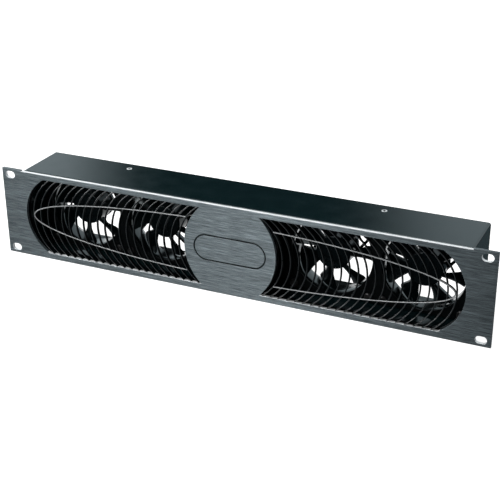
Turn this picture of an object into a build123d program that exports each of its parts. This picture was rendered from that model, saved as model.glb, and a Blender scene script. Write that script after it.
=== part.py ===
from build123d import *
import os
from math import asin, cos, degrees, radians, sin, sqrt

# Rack fan tray, 2 units high: a brushed front panel with two grilles, a folded chassis behind it,
# and four axial fans in a row on an inner plate. Millimetres. X runs along the panel, Y runs from
# the panel's front face into the tray, Z is up. The origin is the middle of the rack slot pattern.
# The tray is laid out from its fans outward: the chassis closes round them, and the panel reaches
# past the chassis to the rails of the rack.

# Front panel: 482.6 wide and 88.1 high with the fans below
PANEL_T = 3.2
PANEL_CORNER_R = 0.8
EAR_W = 21.1
SLOT_END_MARGIN = 8.75
SLOT_EDGE_MARGIN = 5.95
SLOT_W = 7.0
SLOT_L = 10.3

# Sheet metal of the chassis
CHASSIS_INSET = 0.95
SHEET_T = 1.2
BEND_R = 2.2
PLENUM_DEPTH = 26.8
FRONT_LIP = 3.7
CORNER_TAB_W = 12.0
CORNER_TAB_H = 8.9
SIDE_FLANGE_W = 9.0

# Openings of the panel: flat top and bottom, a round outer end, and a bulge of the middle plate.
# Each radius is half the opening's height and what its arc has on top of that.
OPEN_EDGE_MARGIN = 5.95
OPEN_END_MARGIN = 3.2
OUTER_R_EXTRA = 6.2
INNER_R_EXTRA = 14.9
INNER_APEX_X = 45.5

# Engraved outline on the middle plate
MARK_L = 72.0
MARK_H = 26.0
MARK_LINE = 1.0
MARK_DEPTH = 0.3

# Grilles
FIN_PITCH = 7.88
FIN_END_MARGIN = 7.82
FIN_INNER_MARGIN = 4.0
FIN_R_EXTRA = 7.9
FIN_END_TURN = 2.0
FIN_FRONT_T = 0.9
FIN_BACK_T = 1.3
FIN_DEPTH = 2.4
FOOT_H = 1.2
FOOT_SLOPE = 2.6
END_GAP = 0.15
BAR_EDGE_MARGIN = 10.8
BAR_TIP_GAP = 1.0
BAR_W = 1.4
BAR_PROUD = 0.4
BAR_DEPTH = 2.0
COLLAR_T = 1.1
COLLAR_STEP = 0.4
GRILLE_PLATE_T = 1.8
GRILLE_EDGE_GAP = 0.4
GRILLE_TOP_GAP = 0.1
GRILLE_MIDDLE_GAP = 3.0

# Studs and nuts that hold the grilles and the chassis to the panel
STUD_R = 1.5
STUD_HEAD_R = 2.3
STUD_HEAD_T = 1.3
STUD_OUT = 1.2
STUD_IN_X = 16.0
STUD_IN_MARGIN = 10.1
NUT_AF = 5.5
NUT_H = 2.4
SCREW_HOLE_R = 1.7
FIT_GAP = 0.05

# Fans: two on each side of the free bay, with a little room above and below
FAN_SIZE = 80.0
FAN_DEPTH = 25.0
FAN_SPACING = 4.8
FAN_SIDE_GAP = 8.3
FAN_TOP_GAP = 1.9
FAN_REAR_GAP = 0.3
BAY_HALF_W = 45.9
FAN_CORNER_R = 3.5
FAN_RIM_W = 2.0
FAN_WALL = 1.3
FAN_LIP_W = 1.1
FAN_LIP_DEPTH = 3.5
FAN_FLANGE_T = 3.8
FAN_FLARE_L = 10.0
FAN_FLARE_OUT = 3.5
FAN_FLAT_WALL = 1.1
FAN_HOLE_INSET = 4.25
FAN_HOLE_R = 2.15
BASE_RIM = 0.5
BASE_T = 3.0
STRUT_COUNT = 4
STRUT_W = 2.6
STRUT_T = 3.6
STRUT_SWEEP = 53.0
STRUT_ANGLE = 68.5

# Impeller and its motor: depths are counted from the fan's front face, rear gaps from its base
BLADE_COUNT = 7
BLADE_TIP_GAP = 0.8
BLADE_T = 1.3
BLADE_FRONT = 1.6
BLADE_ROOT_REAR_GAP = 7.5
BLADE_TIP_REAR_GAP = 2.8
BLADE_HUB_SLOPE = 0.22
BLADE_TIP_SLOPE = 1.48
BLADE_CAMBER = 4.1
HUB_R = 16.5
HUB_FRONT = 1.5
HUB_REAR_GAP = 2.5
HUB_WALL = 1.4
HUB_ROUND = 1.6
CUP_T = 1.0
MAGNET_T = 1.8
MAGNET_INSET = 2.0
AIR_GAP = 0.6
SHAFT_R = 1.5
BOSS_R = 4.0
BOSS_L = 2.1
TUBE_R = 4.5
TUBE_BORE_R = 3.2
TUBE_FRONT = 5.5
BEARING_W = 3.0
BEARING_FRONT = 6.0
BEARING_REAR_GAP = 1.2
CLIP_R = 2.8
CLIP_T = 0.6
CLIP_GAP = 0.2
SHAFT_END_GAP = 0.3
STATOR_FRONT = 7.0
STATOR_REAR_GAP = 5.0
STATOR_POLES = 4
STATOR_SLOT_W = 1.8
BOARD_INSET = 4.0
BOARD_T = 1.4
IMPELLER_ANGLES = (43.4, 20.8, 48.5, 10.9)

# Inner plate that carries the fans
APERTURE_GAP = 0.6
PLATE_SIDE_GAP = 0.4
PLATE_REAR_GAP = 6.3
PLATE_BEND_R = 1.6
FAN_SCREW_HOLE_R = 2.35
FAN_SCREW_R = 2.1
FAN_SCREW_L = 12.0
FAN_SCREW_HEAD_R = 3.8
FAN_SCREW_HEAD_T = 2.4
FAN_SCREW_CHAMFER = 1.1

# Countersunk screws of the deck and the bottom cover
SINK_HEAD_R = 2.6
SINK_DEPTH = 1.1
SINK_SCREW_L = 6.0
RECESS_W = 0.5
DECK_SCREW_MARGIN = 5.0
COVER_SCREW_FRONT = 12.0
COVER_SCREW_PLATE_GAP = 2.0
COVER_SCREW_REAR_GAP = 9.5
COVER_SCREW_INSET = 5.7

# Power inlet in the bay between the fans
INLET_FLANGE_W = 50.0
INLET_FLANGE_H = 23.0
INLET_FLANGE_T = 3.0
INLET_BODY_W = 27.0
INLET_BODY_H = 19.8
INLET_BODY_L = 18.0
INLET_CUT_GAP = 0.25
INLET_CAVITY_W = 24.4
INLET_CAVITY_H = 16.4
INLET_CAVITY_L = 15.0
INLET_CHAMFER = 5.0
INLET_SCREW_INSET = 5.0
PIN_W = 2.0
PIN_H = 4.0
PIN_SPREAD = 7.0
PIN_RISE = 2.0
PIN_TIP_INSET = 2.0
INLET_SCREW_HEAD_T = 1.8
TAB_W = 6.3
TAB_T = 0.8
TAB_L = 8.0

# Sizes that follow from the ones above
INNER_BEND_R = BEND_R - SHEET_T
INSIDE_TOP = FAN_SIZE / 2 + FAN_TOP_GAP
CHASSIS_TOP = INSIDE_TOP + SHEET_T
PANEL_H = 2 * (CHASSIS_TOP + CHASSIS_INSET)
FAN_PITCH = FAN_SIZE + FAN_SPACING
FAN_INNER_X = BAY_HALF_W + FAN_SIZE / 2
FAN_OUTER_X = FAN_INNER_X + FAN_PITCH
FAN_XS = (-FAN_OUTER_X, -FAN_INNER_X, FAN_INNER_X, FAN_OUTER_X)
INSIDE_SIDE = FAN_OUTER_X + FAN_SIZE / 2 + FAN_SIDE_GAP
CHASSIS_SIDE = INSIDE_SIDE + SHEET_T
CHASSIS_W = 2 * CHASSIS_SIDE
PANEL_W = CHASSIS_W + 2 * EAR_W
SLOT_PITCH_X = PANEL_W - 2 * SLOT_END_MARGIN
SLOT_PITCH_Z = PANEL_H - 2 * SLOT_EDGE_MARGIN
LIP_BACK = PANEL_T + SHEET_T
LIP_EDGE = CHASSIS_TOP - FRONT_LIP
TAB_X = INSIDE_SIDE - CORNER_TAB_W / 2
TAB_Z = LIP_EDGE - CORNER_TAB_H / 2
GRILLE_BACK = LIP_BACK + GRILLE_PLATE_T
PLATE_FRONT = GRILLE_BACK + PLENUM_DEPTH
FAN_FRONT = PLATE_FRONT + SHEET_T
REAR_Y = FAN_FRONT + FAN_DEPTH + FAN_REAR_GAP
PLATE_BACK = REAR_Y - PLATE_REAR_GAP
DECK_SCREW_X = (FAN_INNER_X + FAN_OUTER_X) / 2
DECK_SCREW_Y = PLATE_BACK - DECK_SCREW_MARGIN
COVER_SCREW_X = CHASSIS_SIDE - COVER_SCREW_INSET
COVER_SCREW_MIDDLE = PLATE_FRONT - COVER_SCREW_PLATE_GAP
COVER_SCREW_REAR = REAR_Y - COVER_SCREW_REAR_GAP
COVER_SCREW_YS = (COVER_SCREW_FRONT, COVER_SCREW_MIDDLE, COVER_SCREW_REAR)
INLET_SCREW_X = INLET_FLANGE_W / 2 - INLET_SCREW_INSET
OPEN_H = PANEL_H - 2 * OPEN_EDGE_MARGIN
OUTER_R = OPEN_H / 2 + OUTER_R_EXTRA
INNER_R = OPEN_H / 2 + INNER_R_EXTRA
OUTER_APEX_X = CHASSIS_SIDE - OPEN_END_MARGIN
OUTER_CENTRE_X = OUTER_APEX_X - OUTER_R
INNER_CENTRE_X = INNER_APEX_X - INNER_R
STUD_IN_Z = OPEN_H / 2 - STUD_IN_MARGIN
FIN_R = OPEN_H / 2 + FIN_R_EXTRA
FIRST_FIN_X = OUTER_APEX_X - FIN_END_MARGIN
FIN_COUNT = 1 + int((FIRST_FIN_X - INNER_APEX_X - FIN_INNER_MARGIN) / FIN_PITCH)
LAST_FIN_X = FIRST_FIN_X - (FIN_COUNT - 1) * FIN_PITCH
BAR_HALF_H = OPEN_H / 2 - BAR_EDGE_MARGIN
FAN_BORE_R = FAN_SIZE / 2 - FAN_RIM_W
FAN_LIP_R = FAN_BORE_R + FAN_LIP_W
FAN_FLARE_R = FAN_SIZE / 2 + FAN_FLARE_OUT
FAN_FLARE_START = FAN_DEPTH - FAN_FLARE_L
FAN_HOLE_PITCH = FAN_SIZE - 2 * FAN_HOLE_INSET
APERTURE_R = FAN_BORE_R + APERTURE_GAP
BASE_FRONT = FAN_DEPTH - BASE_T
BASE_R = HUB_R + BASE_RIM
BOARD_R = BASE_R - BOARD_INSET
TIP_R = FAN_BORE_R - BLADE_TIP_GAP
BLADE_ROOT_BACK = BASE_FRONT - BLADE_ROOT_REAR_GAP
BLADE_TIP_BACK = BASE_FRONT - BLADE_TIP_REAR_GAP
HUB_REAR = BASE_FRONT - HUB_REAR_GAP
CUP_R = HUB_R - HUB_WALL
MAGNET_R = CUP_R - CUP_T
STATOR_R = MAGNET_R - MAGNET_T - AIR_GAP
STATOR_REAR = BASE_FRONT - STATOR_REAR_GAP
BEARING_REAR = BASE_FRONT - BEARING_REAR_GAP - BEARING_W


def depth_plane(y):
    """A drawing plane that faces the front of the tray at depth y: local x is X, local y is Z."""
    return Plane(origin=(0, y, 0), x_dir=(1, 0, 0), z_dir=(0, -1, 0))


def slab(profile, front, back):
    """An X-Z outline made solid from one depth to another."""
    return extrude(depth_plane(back) * profile, back - front)


def at(x, z):
    """A place on a drawing plane."""
    return Pos(x, z)


def turned(points):
    """A solid turned about the Y axis from (radius, depth) corners."""
    return revolve(make_face(Polyline(*points, close=True)), Axis.Y)


def mirror_side(shape):
    """The same shape on the other side of the tray."""
    return mirror(shape, Plane.YZ)


def corners(x, z):
    """The four places at plus and minus x and z."""
    return [(sx * x, sz * z) for sx in (-1, 1) for sz in (-1, 1)]


def opening_outline(grow=0.0):
    """The right-hand opening, drawn larger or smaller all round by grow."""
    half = OPEN_H / 2 + grow
    outer_r = OUTER_R + grow
    inner_r = INNER_R - grow
    outer_x = OUTER_CENTRE_X + sqrt(outer_r ** 2 - half ** 2)
    inner_x = INNER_CENTRE_X + sqrt(inner_r ** 2 - half ** 2)
    top = Line((inner_x, half), (outer_x, half))
    end = ThreePointArc((outer_x, half), (OUTER_CENTRE_X + outer_r, 0), (outer_x, -half))
    bottom = Line((outer_x, -half), (inner_x, -half))
    bulge = ThreePointArc((inner_x, -half), (INNER_CENTRE_X + inner_r, 0), (inner_x, half))
    return make_face(Curve() + [top, end, bottom, bulge])


def panel_mark():
    """The engraved outline on the middle plate: a long ring with round ends."""
    outside = SlotOverall(MARK_L, MARK_H)
    inside = SlotOverall(MARK_L - 2 * MARK_LINE, MARK_H - 2 * MARK_LINE)
    return slab(outside - inside, 0, MARK_DEPTH)


def stud_places():
    """Where the panel's studs stand: four by the middle plate and four in the corner tabs."""
    return corners(STUD_IN_X, STUD_IN_Z) + corners(TAB_X, TAB_Z)


def front_panel():
    """Brushed panel with rack slots, two openings, a stepped top edge and blind stud holes."""
    outline = RectangleRounded(PANEL_W, PANEL_H, PANEL_CORNER_R)
    for x, z in corners(SLOT_PITCH_X / 2, SLOT_PITCH_Z / 2):
        outline -= at(x, z) * SlotOverall(SLOT_L, SLOT_W)
    opening = opening_outline()
    outline -= opening
    outline -= mirror(opening, Plane.YZ)
    step_z = CHASSIS_TOP + CHASSIS_INSET
    outline -= at(0, step_z) * Rectangle(CHASSIS_W, 2 * CHASSIS_INSET)
    panel = slab(outline, 0, PANEL_T) - panel_mark()
    for x, z in stud_places():
        hole = at(x, z) * Circle(STUD_HEAD_R + FIT_GAP)
        panel -= slab(hole, PANEL_T - STUD_HEAD_T, PANEL_T)
    return panel


def panel_studs():
    """Pressed studs: a flat head in the panel's back and a shank that reaches past the nut."""
    head_front = PANEL_T - STUD_HEAD_T
    tip = GRILLE_BACK + NUT_H + STUD_OUT
    studs = []
    for x, z in stud_places():
        head = slab(at(x, z) * Circle(STUD_HEAD_R), head_front, PANEL_T)
        shank = slab(at(x, z) * Circle(STUD_R), PANEL_T, tip)
        studs.append(head + shank)
    return studs


def panel_nuts():
    """Hexagon nuts on the studs."""
    nut = RegularPolygon(NUT_AF / 2, 6, major_radius=False) - Circle(STUD_R + FIT_GAP)
    return [slab(at(x, z) * nut, GRILLE_BACK, GRILLE_BACK + NUT_H) for x, z in stud_places()]


def arc_fin():
    """One curved fin with its apex at X = 0: drawn across its arc, turned, and cut to its feet."""
    front = FIN_FRONT_T / 2
    back = FIN_BACK_T / 2
    front_edge = [(FIN_R - front, 0), (FIN_R + front, 0)]
    back_edge = [(FIN_R + back, GRILLE_BACK), (FIN_R - back, GRILLE_BACK)]
    half_turn = degrees(asin(OPEN_H / 2 / FIN_R)) + FIN_END_TURN
    section = make_face(Polyline(*front_edge, *back_edge, close=True))
    arc = revolve(section, Axis.Y, 2 * half_turn)
    arc = Pos(-FIN_R, 0, 0) * Rot(0, -half_turn, 0) * arc
    end = OPEN_H / 2 - END_GAP
    throat = end - FOOT_H
    foot = throat - FOOT_SLOPE
    shallow = [(FIN_DEPTH, -foot), (FIN_DEPTH, foot)]
    deep = [(GRILLE_BACK, throat), (GRILLE_BACK, -throat)]
    gap = extrude(Plane.YZ * make_face(Polyline(*shallow, *deep, close=True)), 2 * FIN_R, both=True)
    keep = Pos(-FIN_R, GRILLE_BACK / 2, 0) * Box(4 * FIN_R, GRILLE_BACK, 2 * end)
    return (arc & keep) - gap


def oval_bar():
    """Half of the long oval bar, from the last fin round the tip and back."""
    reach = FIRST_FIN_X - BAR_TIP_GAP
    half = BAR_W / 2
    ring = Ellipse(reach + half, BAR_HALF_H + half) - Ellipse(reach - half, BAR_HALF_H - half)
    end_x = LAST_FIN_X - FIN_R
    ring -= at(end_x, 0) * Circle(FIN_R)
    ring &= at(end_x + PANEL_W / 2, 0) * Rectangle(PANEL_W, PANEL_H)
    return slab(ring, -BAR_PROUD, BAR_DEPTH)


def grille():
    """Moulded grille of the right-hand opening: back plate, collar, fins and the oval bar."""
    left = GRILLE_MIDDLE_GAP
    right = INSIDE_SIDE - GRILLE_EDGE_GAP
    high = INSIDE_TOP - SHEET_T - GRILLE_TOP_GAP
    throat = opening_outline(-COLLAR_STEP)
    plate = at((left + right) / 2, 0) * RectangleRounded(right - left, 2 * high, INNER_BEND_R) - throat
    body = slab(plate, LIP_BACK, GRILLE_BACK)
    body += slab(opening_outline(COLLAR_T) - throat, PANEL_T, LIP_BACK)
    for x, z in stud_places():
        if x > 0:
            body -= slab(at(x, z) * Circle(SCREW_HOLE_R), PANEL_T, GRILLE_BACK)
    fin = arc_fin()
    fins = [Pos(FIRST_FIN_X - n * FIN_PITCH, 0, 0) * fin for n in range(FIN_COUNT)]
    return body + fins + oval_bar()


def countersink(x, y, down):
    """Clearance hole and countersink for a screw that goes down from the deck or up from the cover."""
    top = CHASSIS_TOP
    cone = [(0, top), (SINK_HEAD_R + FIT_GAP, top), (SCREW_HOLE_R, top - SINK_DEPTH)]
    hole = [(SCREW_HOLE_R, top - 2 * SHEET_T), (0, top - 2 * SHEET_T)]
    cut = revolve(make_face(Plane.XZ * Polyline(*cone, *hole, close=True)), Axis.Z)
    return Pos(x, y, 0) * (cut if down else mirror(cut, Plane.XY))


def sink_screw(x, y, down):
    """Countersunk screw with its head flush with the sheet and a cross recess."""
    top = CHASSIS_TOP
    cone = [(0, top), (SINK_HEAD_R, top), (STUD_R, top - SINK_DEPTH)]
    shank = [(STUD_R, top - SINK_SCREW_L), (0, top - SINK_SCREW_L)]
    screw = revolve(make_face(Plane.XZ * Polyline(*cone, *shank, close=True)), Axis.Z)
    for angle in (0, 90):
        screw -= Pos(0, 0, top) * Rot(0, 0, angle) * Box(SINK_HEAD_R, RECESS_W, SINK_DEPTH)
    return Pos(x, y, 0) * (screw if down else mirror(screw, Plane.XY))


def deck_screw_places():
    """Screws between each pair of fans."""
    return [(-DECK_SCREW_X, DECK_SCREW_Y), (DECK_SCREW_X, DECK_SCREW_Y)]


def cover_screw_places():
    """Screws along both sides of the bottom cover."""
    return [(side * COVER_SCREW_X, y) for side in (-1, 1) for y in COVER_SCREW_YS]


def bent_front(body):
    """The deck's front edge rounded into the lip, with the sheet's thickness kept through the bend."""
    length = 2 * (CHASSIS_SIDE - BEND_R)
    corner = Pos(0, PANEL_T + BEND_R / 2, CHASSIS_TOP - BEND_R / 2) * Box(length, BEND_R, BEND_R)
    bend_line = Pos(0, PANEL_T + BEND_R, CHASSIS_TOP - BEND_R) * Rot(0, 90, 0)
    sheet = bend_line * Cylinder(BEND_R, length) - bend_line * Cylinder(INNER_BEND_R, length)
    return body - corner + (sheet & corner)


def chassis():
    """Folded sheet: deck, two sides, a lip and corner tabs behind the panel, and bottom flanges."""
    low = -INSIDE_TOP
    height = CHASSIS_TOP - low
    middle = (CHASSIS_TOP + low) / 2
    outside = RectangleRounded(CHASSIS_W, height, BEND_R)
    inside = RectangleRounded(2 * INSIDE_SIDE, height - 2 * SHEET_T, INNER_BEND_R)
    wrap = outside - inside
    wrap -= at(0, -height / 2) * Rectangle(2 * (CHASSIS_SIDE - SIDE_FLANGE_W), 4 * SHEET_T)
    body = slab(at(0, middle) * wrap, PANEL_T, REAR_Y)
    lip = at(0, CHASSIS_TOP - FRONT_LIP / 2) * Rectangle(2 * (CHASSIS_SIDE - BEND_R), FRONT_LIP)
    body += slab(lip, PANEL_T, LIP_BACK)
    root = SHEET_T / 2
    for x, z in corners(TAB_X + root / 2, TAB_Z):
        body += slab(at(x, z) * Rectangle(CORNER_TAB_W + root, CORNER_TAB_H), PANEL_T, LIP_BACK)
    for x, z in corners(TAB_X, TAB_Z):
        body -= slab(at(x, z) * Circle(SCREW_HOLE_R), PANEL_T, LIP_BACK)
    body = bent_front(body)
    for x, y in deck_screw_places():
        body -= countersink(x, y, True)
    for x, y in cover_screw_places():
        hole = Pos(x, y, low) * Cylinder(STUD_R + FIT_GAP, 4 * SHEET_T)
        body -= hole
    return body


def bottom_cover():
    """Flat cover with a lip behind the panel and countersunk holes."""
    deep = REAR_Y - PANEL_T
    plate_z = -CHASSIS_TOP + SHEET_T / 2
    cover = Pos(0, PANEL_T + deep / 2, plate_z) * Box(CHASSIS_W, deep, SHEET_T)
    lip_w = 2 * (INSIDE_SIDE - CORNER_TAB_W - GRILLE_EDGE_GAP)
    lip = at(0, -CHASSIS_TOP + FRONT_LIP / 2) * Rectangle(lip_w, FRONT_LIP)
    cover += slab(lip, PANEL_T, LIP_BACK)
    for x, y in deck_screw_places() + cover_screw_places():
        cover -= countersink(x, y, False)
    return cover


def fan_plate():
    """Inner plate with four round apertures, a cut-out for the inlet, and two long flanges."""
    wide = 2 * (INSIDE_SIDE - PLATE_SIDE_GAP)
    face = Rectangle(wide, 2 * INSIDE_TOP)
    for fan_x in FAN_XS:
        face -= at(fan_x, 0) * Circle(APERTURE_R)
        for x, z in corners(FAN_HOLE_PITCH / 2, FAN_HOLE_PITCH / 2):
            face -= at(fan_x + x, z) * Circle(FAN_SCREW_HOLE_R)
    face -= Rectangle(INLET_BODY_W + 2 * INLET_CUT_GAP, INLET_BODY_H + 2 * INLET_CUT_GAP)
    for side in (-1, 1):
        face -= at(side * INLET_SCREW_X, 0) * Circle(STUD_R + FIT_GAP)
    notch_w = SIDE_FLANGE_W - SHEET_T
    for x, z in corners(wide / 2, 0):
        face -= at(x, -INSIDE_TOP) * Rectangle(2 * notch_w, 2 * (SHEET_T + PLATE_SIDE_GAP))
    plate = slab(face, PLATE_FRONT, FAN_FRONT)
    flange_z = INSIDE_TOP - SHEET_T / 2
    top = at(0, flange_z) * Rectangle(wide - 2 * BEND_R, SHEET_T)
    bottom = at(0, -flange_z) * Rectangle(wide - 2 * notch_w, SHEET_T)
    plate += slab(top, PLATE_FRONT, PLATE_BACK)
    plate += slab(bottom, PLATE_FRONT, PLATE_BACK)
    front_edges = plate.edges().filter_by(Axis.X).group_by(Axis.Y)[0]
    bends = front_edges.filter_by(lambda edge: abs(edge.center().Z) > INSIDE_TOP - FIT_GAP)
    plate = fillet(bends, PLATE_BEND_R)
    for x, y in deck_screw_places():
        plate -= Pos(x, y, 0) * Cylinder(STUD_R + FIT_GAP, PANEL_H)
    return plate


def fan_frame():
    """Fan housing with its front face at Y = 0: round duct, two square flanges, base and struts."""
    square = RectangleRounded(FAN_SIZE, FAN_SIZE, FAN_CORNER_R)
    inner = RectangleRounded(FAN_SIZE - 2 * FAN_FLAT_WALL, FAN_SIZE - 2 * FAN_FLAT_WALL, FAN_CORNER_R)
    wall_r = FAN_BORE_R + FAN_WALL
    flare_wall = FAN_FLARE_R + FAN_WALL
    duct_wall = [(wall_r, 0), (wall_r, FAN_FLARE_START), (flare_wall, FAN_DEPTH)]
    duct = turned([(0, 0), *duct_wall, (0, FAN_DEPTH)])
    block = slab(square, 0, FAN_DEPTH)
    body = duct & block
    body += slab(square, 0, FAN_FLANGE_T)
    body += slab(square, FAN_DEPTH - FAN_FLANGE_T, FAN_DEPTH)
    neck = (FAN_BORE_R, FAN_FLARE_START)
    mouth = turned([(0, 0), (FAN_LIP_R, 0), (FAN_BORE_R, FAN_LIP_DEPTH), neck, (0, FAN_FLARE_START)])
    flare = turned([(0, FAN_FLARE_START), neck, (FAN_FLARE_R, FAN_DEPTH), (0, FAN_DEPTH)])
    body -= mouth
    body -= flare & slab(inner, 0, FAN_DEPTH)
    for x, z in corners(FAN_HOLE_PITCH / 2, FAN_HOLE_PITCH / 2):
        body -= slab(at(x, z) * Circle(FAN_HOLE_R), 0, FAN_DEPTH)
    body += slab(Circle(BASE_R), BASE_FRONT, FAN_DEPTH)
    one = strut()
    body += [Rot(0, n * 360 / STRUT_COUNT, 0) * one & block for n in range(STRUT_COUNT)]
    tube = slab(Circle(TUBE_R), TUBE_FRONT, BASE_FRONT)
    bore = slab(Circle(TUBE_BORE_R), TUBE_FRONT, BASE_FRONT)
    return body + tube - bore


def strut():
    """One swept strut from the motor base to the duct wall."""
    start = radians(STRUT_ANGLE)
    end = radians(STRUT_ANGLE + STRUT_SWEEP)
    inside = BASE_R - STRUT_W / 2
    outside = FAN_FLARE_R + FAN_WALL / 2
    path = Line((inside * cos(start), inside * sin(start)), (outside * cos(end), outside * sin(end)))
    along = path % 0.5
    side = Vector(-along.Y, along.X) * STRUT_W / 2
    a, b = path @ 0, path @ 1
    outline = make_face(Polyline(a - side, b - side, b + side, a + side, close=True))
    return slab(outline, FAN_DEPTH - STRUT_T, FAN_DEPTH)


def blade_section(radius, slope, back):
    """A curved blade section on a plane that faces outward at this radius."""
    plane = Plane(origin=(radius, 0, 0), x_dir=(0, 0, -1), z_dir=(1, 0, 0))
    half = (back - BLADE_FRONT) / 2
    middle = (BLADE_FRONT + back) / 2
    reach = half * slope
    chord = Vector(reach, half).normalized()
    across = Vector(-chord.Y, chord.X) * BLADE_T / 2
    lead = Vector(-reach, BLADE_FRONT)
    trail = Vector(reach, back)
    bow = Vector(BLADE_CAMBER, middle)
    upper = ThreePointArc(lead + across, bow + across, trail + across)
    lower = ThreePointArc(trail - across, bow - across, lead - across)
    ends = [Line(trail + across, trail - across), Line(lead - across, lead + across)]
    return plane * make_face(Curve() + [upper, lower] + ends)


def blade():
    """One swept blade: sections from hub to tip, with a turned root and a turned tip."""
    root = blade_section(CUP_R - 2 * HUB_WALL, BLADE_HUB_SLOPE, BLADE_ROOT_BACK)
    tip = blade_section(FAN_BORE_R, BLADE_TIP_SLOPE, BLADE_TIP_BACK)
    ring = Circle(TIP_R) - Circle(HUB_R - HUB_WALL / 2)
    return loft([root, tip]) & slab(ring, HUB_FRONT, HUB_REAR)


def impeller():
    """Plastic rotor with its hub cup and a ring of blades, seen with the fan's front at Y = 0."""
    inner = HUB_FRONT + HUB_WALL
    outside = [(0, HUB_FRONT), (HUB_R, HUB_FRONT), (HUB_R, HUB_REAR)]
    cup = turned(outside + [(CUP_R, HUB_REAR), (CUP_R, inner), (0, inner)])
    rim = cup.edges().filter_by(GeomType.CIRCLE).sort_by(Axis.Y)[0]
    cup = fillet(rim, HUB_ROUND)
    cup += slab(Circle(BOSS_R), inner, inner + BOSS_L)
    cup -= slab(Circle(SHAFT_R + FIT_GAP / 2), inner, inner + BOSS_L)
    one = blade()
    return cup + [Rot(0, n * 360 / BLADE_COUNT, 0) * one for n in range(BLADE_COUNT)]


def rotor_cup():
    """Steel cup that lines the hub and closes the magnetic path."""
    front = HUB_FRONT + HUB_WALL
    inner = front + CUP_T
    r_in = MAGNET_R
    hole = BOSS_R + FIT_GAP
    r_out = CUP_R - FIT_GAP
    outside = [(hole, front), (r_out, front), (r_out, HUB_REAR)]
    return turned(outside + [(r_in, HUB_REAR), (r_in, inner), (hole, inner)])


def magnet_ring():
    """Ring magnet inside the steel cup."""
    ring = Circle(MAGNET_R - FIT_GAP) - Circle(MAGNET_R - MAGNET_T)
    return slab(ring, HUB_FRONT + HUB_WALL + CUP_T + MAGNET_INSET, HUB_REAR - MAGNET_INSET)


def shaft():
    """Motor shaft, held in the hub's boss and running in the bearings."""
    return slab(Circle(SHAFT_R), HUB_FRONT + HUB_WALL, BASE_FRONT - SHAFT_END_GAP)


def retaining_ring():
    """Ring that keeps the shaft behind the rear bearing."""
    front = BEARING_REAR + BEARING_W + CLIP_GAP
    return slab(Circle(CLIP_R) - Circle(SHAFT_R + FIT_GAP / 2), front, front + CLIP_T)


def bearings():
    """Front and rear bearing in the tube."""
    ring = Circle(TUBE_BORE_R - FIT_GAP) - Circle(SHAFT_R + FIT_GAP)
    return [slab(ring, front, front + BEARING_W) for front in (BEARING_FRONT, BEARING_REAR)]


def stator():
    """Wound core on the bearing tube, with four slots between its poles."""
    core = slab(Circle(STATOR_R) - Circle(TUBE_R + FIT_GAP), STATOR_FRONT, STATOR_REAR)
    slot = at(STATOR_R, 0) * Rectangle(STATOR_R, STATOR_SLOT_W)
    cut = slab(slot, STATOR_FRONT, STATOR_REAR)
    step = 360 / STATOR_POLES
    return core - [Rot(0, (n + 0.5) * step, 0) * cut for n in range(STATOR_POLES)]


def circuit_board():
    """Round board on the motor base."""
    ring = Circle(BOARD_R) - Circle(TUBE_R + FIT_GAP)
    return slab(ring, BASE_FRONT - BOARD_T, BASE_FRONT)


def fan_screws():
    """Four pan-head screws through the inner plate into the fan's corners."""
    screws = []
    for x, z in corners(FAN_HOLE_PITCH / 2, FAN_HOLE_PITCH / 2):
        head = slab(at(x, z) * Circle(FAN_SCREW_HEAD_R), -SHEET_T - FAN_SCREW_HEAD_T, -SHEET_T)
        top_edge = head.edges().filter_by(GeomType.CIRCLE).sort_by(Axis.Y)[0]
        head = chamfer(top_edge, FAN_SCREW_CHAMFER)
        shank = slab(at(x, z) * Circle(FAN_SCREW_R), -SHEET_T, FAN_SCREW_L - SHEET_T)
        screws.append(head + shank)
    return screws


def chamfered_outline(width, height, cut):
    """A rectangle with its two upper corners cut off, as on a three-pin inlet."""
    x, z = width / 2, height / 2
    points = [(-x, -z), (x, -z), (x, z - cut), (x - cut, z), (cut - x, z), (-x, z - cut)]
    return make_face(Polyline(*points, close=True))


def power_inlet():
    """Three-pin inlet: flange behind the inner plate, body through it, and a deep cavity."""
    flange = RectangleRounded(INLET_FLANGE_W, INLET_FLANGE_H, FAN_CORNER_R)
    for side in (-1, 1):
        flange -= at(side * INLET_SCREW_X, 0) * Circle(SCREW_HOLE_R)
    back = FAN_FRONT + INLET_FLANGE_T
    body = slab(flange, FAN_FRONT, back)
    front = back - INLET_BODY_L
    body += slab(Rectangle(INLET_BODY_W, INLET_BODY_H), front, back)
    cavity = chamfered_outline(INLET_CAVITY_W, INLET_CAVITY_H, INLET_CHAMFER)
    body -= slab(cavity, back - INLET_CAVITY_L, back)
    for x, z in pin_places():
        body -= slab(at(x, z) * Rectangle(PIN_W + FIT_GAP, PIN_H + FIT_GAP), front, back)
    return body


def pin_places():
    """The earth pin above and the other two pins below."""
    return [(0, PIN_RISE), (-PIN_SPREAD, -PIN_RISE), (PIN_SPREAD, -PIN_RISE)]


def inlet_pins():
    """Contact pins with flat tabs on the wiring side."""
    back = FAN_FRONT + INLET_FLANGE_T
    front = back - INLET_BODY_L
    pins = []
    for x, z in pin_places():
        pin = slab(at(x, z) * Rectangle(PIN_W, PIN_H), front, back - PIN_TIP_INSET)
        tab = slab(at(x, z) * Rectangle(TAB_T, TAB_W), front - TAB_L, front)
        pins.append(pin + tab)
    return pins


def inlet_screws():
    """Two pan-head screws that hold the inlet's flange to the inner plate."""
    back = FAN_FRONT + INLET_FLANGE_T
    screws = []
    for side in (-1, 1):
        place = at(side * INLET_SCREW_X, 0)
        head = slab(place * Circle(SINK_HEAD_R), back, back + INLET_SCREW_HEAD_T)
        shank = slab(place * Circle(STUD_R), PLATE_FRONT - STUD_OUT, back)
        screws.append(head + shank)
    return screws


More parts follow.
